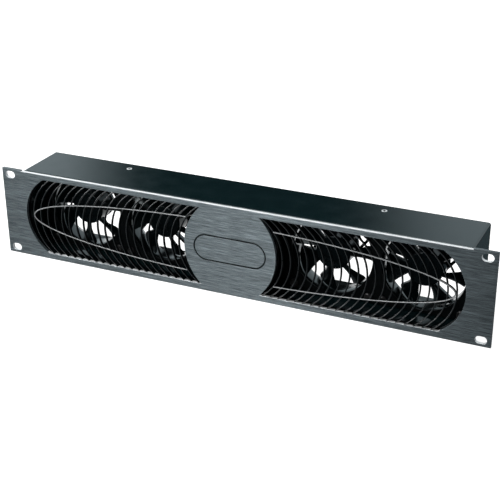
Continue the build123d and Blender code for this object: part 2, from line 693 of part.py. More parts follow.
def write(name, shape):
    """Write one node; a list of separate solids becomes a group."""
    if isinstance(shape, list):
        shape = Compound(children=[piece.solid() for piece in shape])
    export_step(shape, f"parts/{name}.step")


def write_fans():
    """Write each fan's pieces, moved to its place, with its impeller at its own angle."""
    fixed = {"fan_frame": [fan_frame()], "stator": [stator()], "bearings": bearings()}
    fixed["circuit_board"] = [circuit_board()]
    fixed["fan_screws"] = fan_screws()
    turning = {"impeller": [impeller()], "rotor_cup": [rotor_cup()], "magnet_ring": [magnet_ring()]}
    turning["shaft"] = [shaft()]
    turning["retaining_ring"] = [retaining_ring()]
    for number, (x, angle) in enumerate(zip(FAN_XS, IMPELLER_ANGLES), start=1):
        place = Pos(x, FAN_FRONT, 0)
        for name, solids in fixed.items():
            write(f"{name}_{number}", [place * solid for solid in solids])
        for name, solids in turning.items():
            write(f"{name}_{number}", [place * Rot(0, angle, 0) * solid for solid in solids])


def write_tray():
    """Write the panel, the grilles, the sheet metal, the inlet and their fasteners."""
    right = grille()
    write("front_panel", front_panel())
    write("grille_right", right)
    write("grille_left", mirror_side(right))
    write("chassis", chassis())
    write("bottom_cover", bottom_cover())
    write("fan_plate", fan_plate())
    write("panel_studs", panel_studs())
    write("panel_nuts", panel_nuts())
    write("deck_screws", [sink_screw(x, y, True) for x, y in deck_screw_places()])
    lower = deck_screw_places() + cover_screw_places()
    write("cover_screws", [sink_screw(x, y, False) for x, y in lower])
    write("power_inlet", power_inlet())
    write("inlet_pins", inlet_pins())
    write("inlet_screws", inlet_screws())


os.makedirs("parts", exist_ok=True)
write_tray()
write_fans()
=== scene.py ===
# %% [markdown]
# # A rack fan tray
#
# The real object is a panel that fills 2 units of a 19-inch rack, with four fans in a folded
# chassis behind it. Air passes through two openings that are filled with thin curved fins. This
# lesson loads the exact engineering model as a fixed frame, keeps every piece where that frame
# says, and gives the tray its fine shapes, its finishes and its studio light.

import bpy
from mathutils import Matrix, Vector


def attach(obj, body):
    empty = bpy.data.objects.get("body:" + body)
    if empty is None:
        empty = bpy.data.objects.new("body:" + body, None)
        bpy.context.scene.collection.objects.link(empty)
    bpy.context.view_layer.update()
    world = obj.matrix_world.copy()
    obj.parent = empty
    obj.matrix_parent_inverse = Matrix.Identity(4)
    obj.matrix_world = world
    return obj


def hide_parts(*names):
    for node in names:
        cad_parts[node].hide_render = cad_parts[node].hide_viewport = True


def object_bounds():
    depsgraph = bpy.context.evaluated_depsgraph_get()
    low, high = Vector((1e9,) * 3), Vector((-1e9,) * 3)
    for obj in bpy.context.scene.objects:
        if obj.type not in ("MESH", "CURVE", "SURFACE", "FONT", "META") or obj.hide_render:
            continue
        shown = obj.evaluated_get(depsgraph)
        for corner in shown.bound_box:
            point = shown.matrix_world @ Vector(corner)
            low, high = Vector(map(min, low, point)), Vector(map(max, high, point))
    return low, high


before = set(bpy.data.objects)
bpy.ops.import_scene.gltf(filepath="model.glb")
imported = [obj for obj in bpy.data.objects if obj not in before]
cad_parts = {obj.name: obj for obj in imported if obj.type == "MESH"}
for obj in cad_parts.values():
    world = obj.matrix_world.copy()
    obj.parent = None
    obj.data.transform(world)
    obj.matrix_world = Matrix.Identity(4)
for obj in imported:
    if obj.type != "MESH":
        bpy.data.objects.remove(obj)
cad_low, cad_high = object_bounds()

# %% [markdown]
# Blender counts in metres, and a tray is easier to think about in millimetres, so one small value
# turns one into the other. Every shape below is written in millimetres and scaled as it is made.
# X runs along the panel, Y goes from its front face into the rack, and Z points up.

# %% Tools and units
import math

import bmesh
import bpy
from mathutils import Matrix, Vector

MM = 0.001
MM_PER_METRE = 1000.0
SCENE = bpy.context.scene
TRAY = "tray"
print("one millimetre is", MM, "of Blender's units")

# %% [markdown]
# A new piece always takes the same last steps: its faces are stored in a mesh, soft edges are told
# from sharp ones by their angle, and the piece is tied to the body that it moves with. On a plate
# with a narrow bevel the normals of the large faces must win, or the flat face looks pillowy. The
# weighted normal modifier does that without adding a single face.


# %% Store a piece
def store(name, bm, body, finish, replaced=(), sharp=40.0):
    bmesh.ops.recalc_face_normals(bm, faces=bm.faces)
    for edge in bm.edges:
        edge.smooth = len(edge.link_faces) == 2 and edge.calc_face_angle(0) < math.radians(sharp)
    for face in bm.faces:
        face.smooth = True
    mesh = bpy.data.meshes.new(name)
    bm.to_mesh(mesh)
    bm.free()
    piece = bpy.data.objects.new(name, mesh)
    SCENE.collection.objects.link(piece)
    for one in finish if isinstance(finish, (list, tuple)) else [finish]:
        mesh.materials.append(one)
    weighted = piece.modifiers.new("flat_faces_win", "WEIGHTED_NORMAL")
    weighted.keep_sharp = True
    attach(piece, body)
    if replaced:
        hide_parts(*replaced)
    return piece


print("ready to store pieces on", TRAY, "or on a fan's rotor")

# %% [markdown]
# ## Effects that several finishes share
#
# Brushed metal, powder coat and moulded plastic all need grain, and every edge that hands or
# tools touch is a little lighter. Each such effect is a node group with named inputs and outputs.
# It is built once, and every material sets its own values on it. The helpers below only save
# typing: one adds a node, one turns its dials, and the others do a sum, a blend or a ramp.

# %% Helpers for node trees
MIX_A, MIX_B, MIX_RESULT = 6, 7, 2  # the colour sockets of Blender's Mix node


def add(tree, kind, place=(0, 0), **values):
    node = tree.nodes.new(kind)
    node.location = place
    for key, value in values.items():
        setattr(node, key, value)
    return node


def dial(node, **values):
    for key, value in values.items():
        node.inputs[key.replace("_", " ")].default_value = value
    return node


def feed(tree, value, socket):
    if isinstance(value, (int, float, tuple)):
        socket.default_value = value
    else:
        tree.links.new(value, socket)


def new_group(name, inputs, outputs):
    tree = bpy.data.node_groups.new(name, "ShaderNodeTree")
    for label, start in inputs.items():
        socket = tree.interface.new_socket(
            name=label, in_out="INPUT", socket_type="NodeSocketFloat")
        socket.default_value = start
    for label in outputs:
        tree.interface.new_socket(name=label, in_out="OUTPUT", socket_type="NodeSocketFloat")
    return tree, add(tree, "NodeGroupInput", (-900, 0)), add(tree, "NodeGroupOutput", (700, 0))


def place_group(tree, group, place, **values):
    return dial(add(tree, "ShaderNodeGroup", place, node_tree=group), **values)


def maths(tree, how, a, b, place=(0, 0), clamp=False):
    node = add(tree, "ShaderNodeMath", place, operation=how, use_clamp=clamp)
    feed(tree, a, node.inputs[0])
    feed(tree, b, node.inputs[1])
    return node.outputs[0]


def blend_colours(tree, factor, first, second, place, how="MIX"):
    node = add(tree, "ShaderNodeMix", place, data_type="RGBA", blend_type=how)
    feed(tree, factor, node.inputs["Factor"])
    feed(tree, first, node.inputs[MIX_A])
    feed(tree, second, node.inputs[MIX_B])
    return node.outputs[MIX_RESULT]


def ramp(tree, value, low, high, place, start=0.0, end=1.0, how="LINEAR"):
    node = add(tree, "ShaderNodeMapRange", place, interpolation_type=how)
    dial(node, From_Min=start, From_Max=end, To_Min=low, To_Max=high)
    tree.links.new(value, node.inputs["Value"])
    return node.outputs["Result"]


def noise(tree, where, scale, place, detail=2.0, rough=0.5):
    node = add(tree, "ShaderNodeTexNoise", place, normalize=True)
    dial(node, Detail=detail, Roughness=rough)
    tree.links.new(where, node.inputs["Vector"])
    feed(tree, scale, node.inputs["Scale"])
    return node.outputs["Fac"]


def add_contrast(tree, value, gain, place):
    centred = maths(tree, "SUBTRACT", value, 0.5, place)
    strong = maths(tree, "MULTIPLY", centred, gain, (place[0] + 150, place[1]))
    return maths(tree, "ADD", strong, 0.5, (place[0] + 300, place[1]), True)


print("node helpers ready")

# %% [markdown]
# ### Fine grain
#
# Powder coat, moulded plastic and cast surfaces are never smooth up close. Two layers of noise,
# one coarse and one fine, give a height for the bump and a mask that shifts colour and gloss.

# %% Group: fine grain
PATCH_SHARE = 0.06  # the coarse layer's patches are 1 / 0.06 times as wide as a grain


def build_grain():
    tree, source, target = new_group(
        "Fine grain", {"Grain size": 0.5, "Contrast": 1.0}, ("Height", "Mask"))
    where = add(tree, "ShaderNodeTexCoord", (-900, 300)).outputs["Object"]
    scale = maths(tree, "DIVIDE", MM_PER_METRE, source.outputs["Grain size"], (-700, 0))
    coarse_scale = maths(tree, "MULTIPLY", scale, PATCH_SHARE, (-700, -200))
    fine = noise(tree, where, scale, (-500, 200), detail=3.0)
    coarse = noise(tree, where, coarse_scale, (-500, -100))
    height = add_contrast(tree, fine, source.outputs["Contrast"], (-250, 200))
    tree.links.new(height, target.inputs["Height"])
    tree.links.new(coarse, target.inputs["Mask"])
    return tree


GRAIN = build_grain()
print("group:", GRAIN.name)

# %% [markdown]
# ### Brush lines
#
# A brushing belt leaves short parallel scratches. Noise that changes fast across them and slowly
# along them looks the same: on the panel it is stretched about fifty times. A second, broader layer
# of the same noise joins the lines into soft bands, so that they don't look printed.

# %% Group: brush lines
STEPS_PER_STREAK = 1.7  # how many steps of the noise one streak's length holds
BAND_SHARE = 0.16       # the bands' scale as a share of the lines' scale


def build_brush():
    tree, source, target = new_group(
        "Brush lines",
        {"Streak length": 14.0, "Line pitch": 0.4, "Contrast": 1.0},
        ("Lines", "Bands"))
    where = add(tree, "ShaderNodeTexCoord", (-1100, 200))
    split = add(tree, "ShaderNodeSeparateXYZ", (-900, 200))
    tree.links.new(where.outputs["Object"], split.inputs[0])
    along = maths(tree, "DIVIDE", MM_PER_METRE, source.outputs["Streak length"], (-900, 0))
    across = maths(tree, "DIVIDE", MM_PER_METRE, source.outputs["Line pitch"], (-900, -150))
    for label, share, top in (("Lines", 1.0, 200), ("Bands", BAND_SHARE, -100)):
        slow = maths(tree, "MULTIPLY", along, share * STEPS_PER_STREAK, (-720, top + 50))
        fast = maths(tree, "MULTIPLY", across, share, (-720, top - 100))
        vector = add(tree, "ShaderNodeCombineXYZ", (-450, top))
        for axis, pace in (("X", slow), ("Y", fast), ("Z", fast)):
            value = maths(tree, "MULTIPLY", split.outputs[axis], pace, (-600, top))
            tree.links.new(value, vector.inputs[axis])
        streaks = noise(tree, vector.outputs[0], 1.0, (-330, top), detail=5.0, rough=0.65)
        marked = add_contrast(tree, streaks, source.outputs["Contrast"], (-150, top))
        tree.links.new(marked, target.inputs[label])
    return tree


BRUSH = build_brush()
print("group:", BRUSH.name)

# %% [markdown]
# ### Worn edges
#
# The bevel node softens the normal near an edge. Where that soft normal and the true one part,
# there is an edge, and a little noise makes the wear come and go along it. Painting the wear by
# hand would need a picture for every piece; this mask works on any shape.

# %% Group: worn edges
EDGE_GAIN = 6.0       # how quickly the mask grows as the two normals part
WEAR_PATCHES = 160.0  # the scale of the noise that breaks the wear up


def build_wear():
    tree, source, target = new_group("Worn edges", {"Width": 0.6, "Amount": 1.0}, ("Mask",))
    radius = maths(tree, "MULTIPLY", source.outputs["Width"], MM, (-700, 100))
    soft = add(tree, "ShaderNodeBevel", (-500, 100), samples=4)
    tree.links.new(radius, soft.inputs["Radius"])
    exact = add(tree, "ShaderNodeNewGeometry", (-500, -150))
    agree = add(tree, "ShaderNodeVectorMath", (-300, 0), operation="DOT_PRODUCT")
    tree.links.new(soft.outputs[0], agree.inputs[0])
    tree.links.new(exact.outputs["Normal"], agree.inputs[1])
    edge = maths(tree, "SUBTRACT", 1.0, agree.outputs["Value"], (-100, 0))
    wide = maths(tree, "MULTIPLY", edge, EDGE_GAIN, (60, 0), True)
    where = add(tree, "ShaderNodeTexCoord", (-500, -400)).outputs["Object"]
    patchy = noise(tree, where, WEAR_PATCHES, (-300, -300))
    broken = maths(tree, "MULTIPLY", wide, patchy, (220, 0))
    worn = maths(tree, "MULTIPLY", broken, source.outputs["Amount"], (380, 0), True)
    tree.links.new(worn, target.inputs["Mask"])
    return tree


WEAR = build_wear()
print("group:", WEAR.name)

# %% [markdown]
# ## Finishes
#
# Each finish is one Principled shader. Plain numbers are set on its own sockets. Colour and
# roughness that change over the surface come from the groups, and the bump makes the light catch
# the grain. One recipe covers most of the tray's finishes, and the panel gets its own.

# %% One recipe for grained finishes
WHITE = (1.0, 1.0, 1.0, 1.0)
COOL = (0.86, 0.97, 1.0, 1.0)  # the bluish sheen of the tray's glossy black pieces
TONE_SPREAD, ROUGH_SPREAD = 0.2, 0.07
RUBBED_LIFT, RUBBED_GAIN = 0.02, 1.8
GRAIN_HEIGHT = 0.2  # as a share of the grain's width


def tint(colour, factor):
    return tuple(min(1.0, channel * factor) for channel in colour[:3]) + (1.0,)


def new_finish(name):
    finish = bpy.data.materials.new(name)
    finish.use_nodes = True
    return finish, finish.node_tree, finish.node_tree.nodes["Principled BSDF"]


def add_relief(tree, shader, height, strength, depth):
    relief = add(tree, "ShaderNodeBump", (-250, -250))
    dial(relief, Strength=strength, Distance=depth * MM)
    tree.links.new(height, relief.inputs["Height"])
    tree.links.new(relief.outputs[0], shader.inputs["Normal"])


def grained(name, colour, rough, grain=0.5, bump=0.1, metal=0.0, wear=0.25, coat=0.0,
            specular=0.5, sheen=WHITE):
    finish, tree, shader = new_finish(name)
    shader.inputs["Metallic"].default_value = metal
    shader.inputs["Coat Weight"].default_value = coat
    shader.inputs["Coat Roughness"].default_value = 0.12
    shader.inputs["Specular IOR Level"].default_value = specular
    shader.inputs["Specular Tint"].default_value = sheen
    texture = place_group(tree, GRAIN, (-700, 0), Grain_size=grain, Contrast=1.4)
    edges = place_group(tree, WEAR, (-700, -250), Width=0.5, Amount=wear)
    patches = texture.outputs["Mask"]
    dark, light = tint(colour, 1.0 - TONE_SPREAD), tint(colour, 1.0 + TONE_SPREAD)
    rubbed = tint([RUBBED_LIFT + c * RUBBED_GAIN for c in colour], 1.0)
    tone = blend_colours(tree, patches, dark, light, (-450, 150))
    whole = blend_colours(tree, edges.outputs["Mask"], tone, rubbed, (-250, 150))
    tree.links.new(whole, shader.inputs["Base Color"])
    low, high = max(0.02, rough - ROUGH_SPREAD), min(1.0, rough + ROUGH_SPREAD)
    tree.links.new(ramp(tree, patches, low, high, (-450, -100)), shader.inputs["Roughness"])
    add_relief(tree, shader, texture.outputs["Height"], bump, grain * GRAIN_HEIGHT)
    return finish


print("recipe ready: tone, rubbed edges, roughness and relief")

# %% [markdown]
# The chassis is folded steel with satin black powder coat, which has a fine orange-peel grain.
# The inner plate has the same coat, but matt and nearly black, as painted shade for the inside of the
# tray, so that it does not shine through the grilles.
# The grilles and fans are black mouldings: the grilles matt with a satin front that is coloured
# lighter as a painted highlight, the fans glossy.
# screws are plated, and the hidden motor pieces get steel, copper, bronze and a green board. The
# The colours of the blacks are nearly zero, because a glossy black shows the studio and not itself;
# on the inner plate, the fans' housings and their blades the near-black colour is partly painted
# shade for the inside of the tray.

# %% The tray's finishes
POWDER_COAT = grained("satin_powder_coat", (0.002, 0.009, 0.0105), 0.15, grain=0.9, wear=0.3,
                      sheen=COOL)
# the real black coat, darkened further as painted shade inside the tray
PLATE_COAT_PAINTED_SHADE = grained("matt_powder_coat_painted_shade", (0.001, 0.0022, 0.0026), 0.42, grain=0.9, bump=0.2,
                     wear=0.1, specular=0.12)
GRILLE_BLACK = grained("grille_moulding", (0.001, 0.002, 0.0025), 0.36, grain=0.35, wear=0.1,
                       specular=0.06)
# the fins' fronts: a satin finish coloured lighter than the moulding, a painted highlight
FIN_FRONT_PAINTED_HIGHLIGHT = grained("fin_front_satin_painted_highlight", (0.014, 0.0155, 0.0165), 0.3, grain=0.3, bump=0.05,
                    wear=0.2, specular=1.0)
# the bar's front: coloured light grey on the black moulding, a painted highlight
BAR_FRONT_PAINTED_HIGHLIGHT = grained("oval_bar_satin_painted_highlight", (0.24, 0.25, 0.255), 0.32, grain=0.35, bump=0.06,
                    wear=0.4, specular=0.7)
# real black plastic, darkened further as painted shade inside the tray
FAN_BLACK_PAINTED_SHADE = grained("fan_moulding_painted_shade", (0.0015, 0.0035, 0.004), 0.16, grain=0.6, bump=0.04,
                    wear=0.05, specular=0.7, sheen=COOL)
# real black plastic, darkened further as painted shade inside the tray
BLADE_BLACK_PAINTED_SHADE = grained("blade_moulding_painted_shade", (0.001, 0.0025, 0.003), 0.14, grain=0.8, bump=0.03,
                      wear=0.05, specular=0.2, sheen=COOL)
INLET_BLACK = grained("inlet_moulding", (0.02, 0.02, 0.02), 0.5, grain=0.3, bump=0.2)
ZINC = grained("zinc_plate", (0.62, 0.63, 0.65), 0.3, grain=0.4, bump=0.08, metal=1.0, wear=0.2)
SCREW_ZINC = grained("blue_zinc_plate", (0.8, 0.84, 0.87), 0.42, grain=0.4, bump=0.08,
                     metal=0.5, wear=0.0)
DARK_SCREW = grained("black_oxide", (0.035, 0.035, 0.036), 0.38, grain=0.3, metal=0.6)
NICKEL = grained("nickelled_brass", (0.72, 0.68, 0.58), 0.25, grain=0.4, bump=0.05, metal=1.0)
BARE_STEEL = grained("bare_steel", (0.45, 0.46, 0.47), 0.35, metal=1.0)
GROUND_STEEL = grained("ground_steel", (0.6, 0.6, 0.62), 0.22, grain=0.3, bump=0.05, metal=1.0)
BRONZE = grained("sintered_bronze", (0.5, 0.36, 0.2), 0.55, grain=0.3, bump=0.3, metal=1.0)
MAGNET = grained("bonded_magnet", (0.06, 0.06, 0.062), 0.7, grain=0.25, bump=0.3, metal=0.3)
WOUND_CORE = grained("wound_core", (0.42, 0.2, 0.09), 0.4, bump=0.4, metal=0.8)
BOARD = grained("green_board", (0.02, 0.11, 0.045), 0.35, grain=0.6, bump=0.08, coat=0.3)
print("finishes:", len(bpy.data.materials))

# %% [markdown]
# The panel is aluminium, brushed lengthways and anodised black. The brushing shows as short
# streaks: the light lines are smoother and the dark ones rougher, so a highlight breaks up into
# lines. Scratches that run along the panel also spread a highlight across it, up and down, which
# is what the anisotropy does here. The edges were milled after brushing, so their metal is bare
# and bright. The front edge of each sill is brighter still, because it is tilted towards the
# lamps, and the engraved ring is dark. The panel carries a finish for each of these.

# %% Finish: brushed panel and milled edge
DARK_LINE, LIGHT_LINE = (0.055, 0.068, 0.075, 1), (0.205, 0.24, 0.255, 1)
RUBBED_PANEL = (0.4, 0.42, 0.44, 1)
BAND_STRENGTH = 0.2
ROUGH_DARK, ROUGH_LIGHT = 0.5, 0.36


def brushed_panel():
    finish, tree, shader = new_finish("brushed_black_panel")
    shader.inputs["Metallic"].default_value = 0.8
    shader.inputs["Anisotropic"].default_value = 0.9
    brush = place_group(tree, BRUSH, (-800, 0), Streak_length=26.0, Line_pitch=0.32, Contrast=5.2)
    edges = place_group(tree, WEAR, (-800, -300), Width=0.7, Amount=0.5)
    lines, bands = brush.outputs["Lines"], brush.outputs["Bands"]
    lined = blend_colours(tree, lines, DARK_LINE, LIGHT_LINE, (-550, 200))
    banded = blend_colours(tree, BAND_STRENGTH, lined, bands, (-350, 200), "OVERLAY")
    whole = blend_colours(tree, edges.outputs["Mask"], banded, RUBBED_PANEL, (-150, 200))
    tree.links.new(whole, shader.inputs["Base Color"])
    roughness = ramp(tree, lines, ROUGH_DARK, ROUGH_LIGHT, (-350, -50))
    tree.links.new(roughness, shader.inputs["Roughness"])
    upward = dial(add(tree, "ShaderNodeCombineXYZ", (-350, -500)), Z=1.0)
    tree.links.new(upward.outputs[0], shader.inputs["Tangent"])
    add_relief(tree, shader, lines, strength=0.1, depth=0.05)
    return finish


PANEL_BLACK = brushed_panel()
MILLED = grained("milled_edge", (0.86, 0.92, 0.95), 0.4, grain=0.3, bump=0.05, metal=0.3,
                 wear=0.0)
# the dark groove of the ring; in the screws' recesses the same dark is painted shade
ENGRAVED_AND_PAINTED_SHADE = grained("engraved_line_and_painted_shade", (0.006, 0.009, 0.01), 0.6, grain=0.3, wear=0.0, specular=0.2)
BRIGHT_EDGE = grained("bright_edge", (0.62, 0.66, 0.68), 0.45, grain=0.3, bump=0.05, metal=1.0,
                      wear=0.0)
print("panel finish:", PANEL_BLACK.name)

# %% [markdown]
# ## Plates and mouldings
#
# The chassis, its cover and the inner plate are folded steel sheet, and the fans' housings and
# the power inlet are mouldings. Their exact meshes have sharp edges. Real sheet and mouldings
# never do, and the thin highlight on each edge tells the eye that a shape is solid. The pieces
# could be drawn again, but a copy stays true for free: this helper copies a node's mesh, joins
# its split corners, melts flat triangles into whole faces, and cuts a narrow bevel.

# %% Copy a node with softened edges
SAME_CORNER, SAME_PLANE, TURNED = 0.002, 0.5, 30.0  # mm, degrees and degrees


def softened(node, width):
    bm = bmesh.new()
    bm.from_mesh(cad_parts[node].data)
    bmesh.ops.remove_doubles(bm, verts=bm.verts, dist=SAME_CORNER * MM)
    bmesh.ops.dissolve_limit(
        bm, angle_limit=math.radians(SAME_PLANE), verts=bm.verts, edges=bm.edges)
    turned = [edge for edge in bm.edges if len(edge.link_faces) == 2
              and edge.calc_face_angle(0) > math.radians(TURNED)]
    bmesh.ops.bevel(bm, geom=turned, offset=width * MM, segments=2, profile=0.5,
                    affect="EDGES", clamp_overlap=True)
    return bm


def soften(node, name, width, finish):
    piece = store(name, softened(node, width), TRAY, finish, (node,))
    print(name, "faces:", len(piece.data.polygons))


soften("chassis", "chassis_shell", 0.15, POWDER_COAT)
soften("bottom_cover", "bottom_cover_sheet", 0.15, POWDER_COAT)
soften("fan_plate", "fan_plate_sheet", 0.12, PLATE_COAT_PAINTED_SHADE)
soften("power_inlet", "power_inlet_body", 0.25, INLET_BLACK)
soften("inlet_pins", "inlet_pin_set", 0.15, NICKEL)
for number in range(1, 5):
    soften(f"fan_frame_{number}", f"fan_housing_{number}", 0.3, FAN_BLACK_PAINTED_SHADE)

# %% [markdown]
# The panel itself is drawn as a flat outline with its openings and slots as inner outlines, and
# Blender's curve extrusion gives it thickness and an even chamfer in one go. A chamfer made this
# way follows the round ends of the openings exactly, which a bevel on triangles can't do. Each
# opening is flat above and below, round at its outer end, and closed by the bulge of the middle
# plate. The top edge is lower between the ears, where the chassis' deck lies behind it.

# %% Sizes of the panel
PANEL_W, PANEL_H, PANEL_T, PANEL_CHAMFER = 482.6, 88.1, 3.2, 0.22
CHASSIS_W, TOP_STEP = 440.4, 0.95
TOP_Z = PANEL_H / 2 - TOP_STEP
OPEN_H, OUTER_X, OUTER_R, INNER_X, INNER_R = 76.2, 217.0, 44.3, 45.5, 53.0
SILL_Z = -OPEN_H / 2
SLOT_L, SLOT_H, SLOT_X, SLOT_Z = 10.3, 7.0, 232.55, 38.1
SLOTS = [(sx * SLOT_X, sz * SLOT_Z) for sx in (-1, 1) for sz in (-1, 1)]
RING_L, RING_H, RING_LINE, RING_DEPTH = 72.3, 26.3, 1.6, 0.3


def arc(cx, cz, radius, first, last, steps):
    turn = [math.radians(first + (last - first) * i / steps) for i in range(steps + 1)]
    return [(cx + radius * math.cos(a), cz + radius * math.sin(a)) for a in turn]


def opening(side, grow=0.0, steps=48):
    half = OPEN_H / 2 + grow
    outer, inner = OUTER_R + grow, INNER_R - grow
    reach = math.degrees(math.asin(half / outer))
    bulge = math.degrees(math.asin(half / inner))
    points = arc(OUTER_X - OUTER_R, 0, outer, -reach, reach, steps)
    points += arc(INNER_X - INNER_R, 0, inner, bulge, -bulge, steps)
    return [(side * x, z) for x, z in points][::side]


def slot_outline(cx, cz, length, width, steps=14):
    r, reach = width / 2, (length - width) / 2
    return arc(cx + reach, cz, r, -90, 90, steps) + arc(cx - reach, cz, r, 90, 270, steps)


def panel_outline():
    w, h, c = PANEL_W / 2, PANEL_H / 2, CHASSIS_W / 2
    return [(-w, -h), (w, -h), (w, h), (c, h), (c, TOP_Z), (-c, TOP_Z), (-c, h), (-w, h)]


def ring_outlines(length, height, line):
    inside = slot_outline(0, 0, length - 2 * line, height - 2 * line, 40)
    return [slot_outline(0, 0, length, height, 40), inside]


print("points round an opening:", len(opening(1)), "- slots:", len(SLOTS))

# %% [markdown]
# The first helper turns such outlines into a plate that stands upright. The second cuts one shape
# out of another: the shallow ring on the middle plate is carved like this, in the same order in
# which a workshop would engrave it, after the plate is cut.


# %% Make the panel from its outlines
def plate(loops, front, back, chamfer):
    flat = bpy.data.curves.new("outline", "CURVE")
    flat.dimensions = "2D"
    flat.fill_mode = "BOTH"
    flat.extrude = ((back - front) / 2 - chamfer) * MM
    flat.bevel_depth = chamfer * MM
    flat.bevel_resolution = 1
    flat.offset = -chamfer * MM
    for points in loops:
        line = flat.splines.new("POLY")
        line.points.add(len(points) - 1)
        for point, (x, z) in zip(line.points, points):
            point.co = (x * MM, z * MM, 0, 1)
        line.use_cyclic_u = True
    holder = bpy.data.objects.new("outline", flat)
    mesh = bpy.data.meshes.new_from_object(holder)
    bm = bmesh.new()
    bm.from_mesh(mesh)
    bmesh.ops.remove_doubles(bm, verts=bm.verts, dist=SAME_CORNER / 2 * MM)
    upright = Matrix.Rotation(math.pi / 2, 4, "X")
    bm.transform(Matrix.Translation((0, (front + back) / 2 * MM, 0)) @ upright)
    bpy.data.objects.remove(holder)
    bpy.data.curves.remove(flat)
    bpy.data.meshes.remove(mesh)
    return bm


def carve(piece, cutter, crossing=False):
    tool = bpy.data.meshes.new("knife")
    cutter.to_mesh(tool)
    cutter.free()
    knife = bpy.data.objects.new("knife", tool)
    SCENE.collection.objects.link(knife)
    cut = piece.modifiers.new("carve", "BOOLEAN")
    cut.operation = "DIFFERENCE"
    cut.solver = "EXACT"
    cut.use_self = crossing
    cut.object = knife
    piece.modifiers.move(len(piece.modifiers) - 1, 0)
    finished = piece.evaluated_get(bpy.context.evaluated_depsgraph_get())
    shaped = bpy.data.meshes.new_from_object(finished)
    piece.modifiers.clear()
    piece.data = shaped
    bpy.data.objects.remove(knife)


loops = [panel_outline(), opening(1), opening(-1)]
loops += [slot_outline(x, z, SLOT_L, SLOT_H) for x, z in SLOTS]
panel = store("panel_plate", plate(loops, 0, PANEL_T, PANEL_CHAMFER), TRAY,
              [PANEL_BLACK, MILLED, ENGRAVED_AND_PAINTED_SHADE, BRIGHT_EDGE],
              ("front_panel",), sharp=50)
carve(panel, plate(ring_outlines(RING_L, RING_H, RING_LINE), -1, RING_DEPTH, chamfer=0.05))
print("panel faces:", len(panel.data.polygons))

# %% [markdown]
# The milled faces are the ones that look up, which are the stepped top edge over the chassis and
# the sill of each opening, and the walls of the rack slots. They get the second finish by where
# they lie and which way they face. The groove of the ring gets the third, dark one. The chamfer
# in front of each sill gets the fourth: in the photograph it is a bright line.

# %% Paint the milled edges
TILTED, LOOKS_UP, FACES_FRONT = 0.2, 0.6, 0.9  # shares of a face's normal
NEAR, AROUND = 0.6, 0.8  # how far from an edge, or from a slot, a face's middle may lie


def panel_finish(face):
    x, y, z = (c / MM for c in face.center)
    up = face.normal.z
    if y < PANEL_CHAMFER and up > TILTED and SILL_Z - 0.5 < z < SILL_Z + 0.1:
        return 3
    if up > LOOKS_UP and (abs(z - TOP_Z) < NEAR or abs(z - SILL_Z) < NEAR):
        return 1
    if abs(face.normal.y) < FACES_FRONT:
        for sx, sz in SLOTS:
            if abs(x - sx) < SLOT_L / 2 + AROUND and abs(z - sz) < SLOT_H / 2 + AROUND:
                return 1
    groove = abs(x) < RING_L / 2 + AROUND and abs(z) < RING_H / 2 + AROUND
    return 2 if groove and RING_DEPTH / 2 < y < 0.5 else 0


for face in panel.data.polygons:
    face.material_index = panel_finish(face)
print("milled or engraved faces:", sum(f.material_index > 0 for f in panel.data.polygons))

# %% [markdown]
# ## The grilles
#
# Each grille is one black moulding: a plate behind the panel, a collar in the opening, 21 thin
# fins that all follow the same arc, and a bar that draws half of a long oval. A curve with a
# bevel could make a fin, but its ends would stay plain. Here a fin is a ring of points that is
# swept along the arc, so its depth can grow at both ends, where it runs into the collar. Its
# front edge is round, because that is where the light draws the fine grey lines that you see in a
# real grille.

# %% Sizes of the grille
FIN_COUNT, FIN_PITCH, FIN_R = 21, 7.88, 46.0
FIRST_FIN_X = OUTER_X - 7.82
LAST_FIN_X = FIRST_FIN_X - (FIN_COUNT - 1) * FIN_PITCH
LIP_BACK, GRILLE_BACK = 4.4, 6.2
FIN_NOSE_R, FIN_BACK_HALF, FIN_DEPTH, END_GAP = 0.5, 0.65, 2.4, 0.15
FIN_FOOT, FIN_THROAT = 3.8, 1.2  # how far from its end a fin starts and stops deepening
BAR_HALF_L, BAR_HALF_H = FIRST_FIN_X - 1.0, 27.3
BAR_SHAPE = [(-0.7, 2.0), (-0.55, 0.1), (-0.35, -0.25), (0.0, -0.4), (0.35, -0.25), (0.55, 0.1),
             (0.7, 2.0)]
FLANGE_IN, FLANGE_OUT, FLANGE_HALF = 3.0, 218.8, 40.6
COLLAR_IN, COLLAR_OUT, STUD_HOLE_R = -0.4, 1.1, 1.7
STUDS = [(16.0, 28.0), (16.0, -28.0), (213.0, 34.95), (213.0, -34.95)]


def fin_profile(depth, steps=5):
    nose = [(-FIN_NOSE_R * math.cos(a), FIN_NOSE_R - FIN_NOSE_R * math.sin(a))
            for a in (math.pi * i / steps for i in range(steps + 1))]
    return [(-FIN_BACK_HALF, depth)] + nose + [(FIN_BACK_HALF, depth)]


def ring_at(point, out, profile, side):
    ring = [point + out * across + Vector((0, deep, 0)) for across, deep in profile]
    return [Vector((side * p.x, p.y, p.z)) for p in ring]


def fin_rings(apex_x, side, steps=28):
    half = OPEN_H / 2 - END_GAP
    throat, foot = half - FIN_THROAT, half - FIN_FOOT
    reach = math.asin(half / FIN_R)
    centre = Vector((apex_x - FIN_R, 0, 0))
    rings = []
    for i in range(steps + 1):
        a = -reach + 2 * reach * i / steps
        over = min(1.0, max(0.0, (abs(FIN_R * math.sin(a)) - foot) / (throat - foot)))
        out = Vector((math.cos(a), 0, math.sin(a)))
        profile = fin_profile(FIN_DEPTH + over * (GRILLE_BACK - FIN_DEPTH))
        rings.append(ring_at(centre + out * FIN_R, out, profile, side))
    return rings


